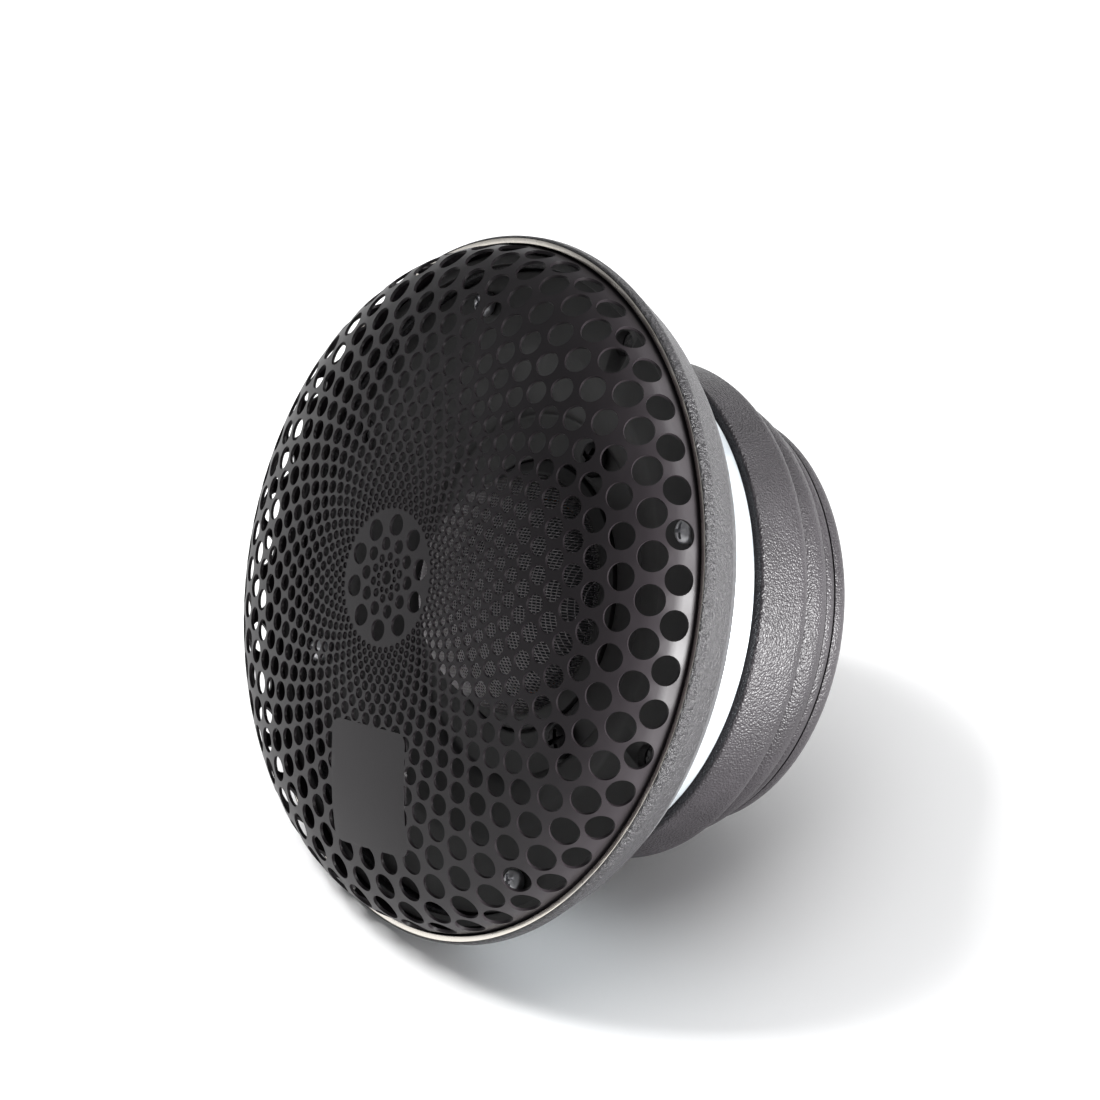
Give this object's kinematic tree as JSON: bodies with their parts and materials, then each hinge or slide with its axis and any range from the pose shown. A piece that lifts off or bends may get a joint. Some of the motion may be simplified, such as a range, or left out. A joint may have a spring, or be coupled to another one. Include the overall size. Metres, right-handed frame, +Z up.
{
  "type": "car tweeter",
  "caption": "Round dome tweeter for cars with a domed perforated grille, wrinkle-finish trim ring, zinc motor can and ribbed rear cover.",
  "frame": {"origin": "on the ground under the centre of the bounding box, with the tweeter lying on its trim ring and rear cover", "axes": "+Z up; +X is the tweeter's own right-left axis and its widest direction; the front of the grille faces -Y and looks up 27.5 degrees"},
  "size_m": [0.096, 0.076, 0.0858],
  "materials": {
    "grille_paint": "satin black paint on perforated steel sheet",
    "wrinkle_paint": "black wrinkle finish",
    "cover_plastic": "black moulding with a fine pebbled grain",
    "lip_metal": "smooth satin nickel, faintly warm",
    "matte_plastic": "matte black moulding",
    "zinc": "bright zinc plating",
    "steel": "plain plated steel",
    "black_steel": "black oxide",
    "mesh_wire": "woven steel wire, dark grey",
    "ferrite": "ground ceramic ferrite",
    "copper": "bare copper",
    "silk": "coated woven silk",
    "kapton": "amber film",
    "foam": "open-cell black foam",
    "felt": "grey felt",
    "terminal_plastic": "glass-filled black nylon",
    "tin": "tin plate",
    "wire_red": "red insulation",
    "wire_black": "black insulation"
  },
  "bodies": {
    "root": {"trim_ring": "wrinkle_paint", "trim_lip": "lip_metal", "flange_gasket": "foam", "waveguide": "matte_plastic", "guard_ring": "matte_plastic", "mesh_guard": "mesh_wire", "surround": "silk", "diaphragm_ring": "matte_plastic", "front_plate": "steel", "magnet": "ferrite", "yoke": "steel", "copper_cap": "copper", "pole_felt": "felt", "shield_can": "zinc", "rear_chamber": "matte_plastic", "chamber_gasket": "foam", "chamber_foam": "foam", "rear_cover": "cover_plastic", "terminal_board": "terminal_plastic", "solder_tab_positive": "tin", "solder_tab_negative": "tin", "terminal_rivet_positive": "tin", "terminal_rivet_negative": "tin", "terminal_screw_1": "steel", "terminal_screw_2": "steel", "waveguide_screw_1": "steel", "waveguide_screw_2": "steel", "waveguide_screw_3": "steel", "waveguide_screw_4": "steel", "motor_screw_1": "black_steel", "motor_screw_2": "black_steel", "motor_screw_3": "black_steel", "lead_wire_positive": "wire_red", "lead_wire_negative": "wire_black"},
    "grille_cap": {"grille": "grille_paint", "grille_ring": "matte_plastic"},
    "diaphragm": {"dome_diaphragm": "silk", "coil_former": "kapton", "voice_coil": "copper"}
  },
  "joints": [
    {"name": "grille_pull_off", "type": "slide", "parent": "root", "child": "grille_cap", "axis": [0, -0.8872, 0.4614], "range_m": [0, 0.03]},
    {"name": "diaphragm_travel", "type": "slide", "parent": "root", "child": "diaphragm", "axis": [0, -0.8872, 0.4614], "range_m": [-0.0005, 0.0005], "stiffness_N_per_m": 300}
  ]
}
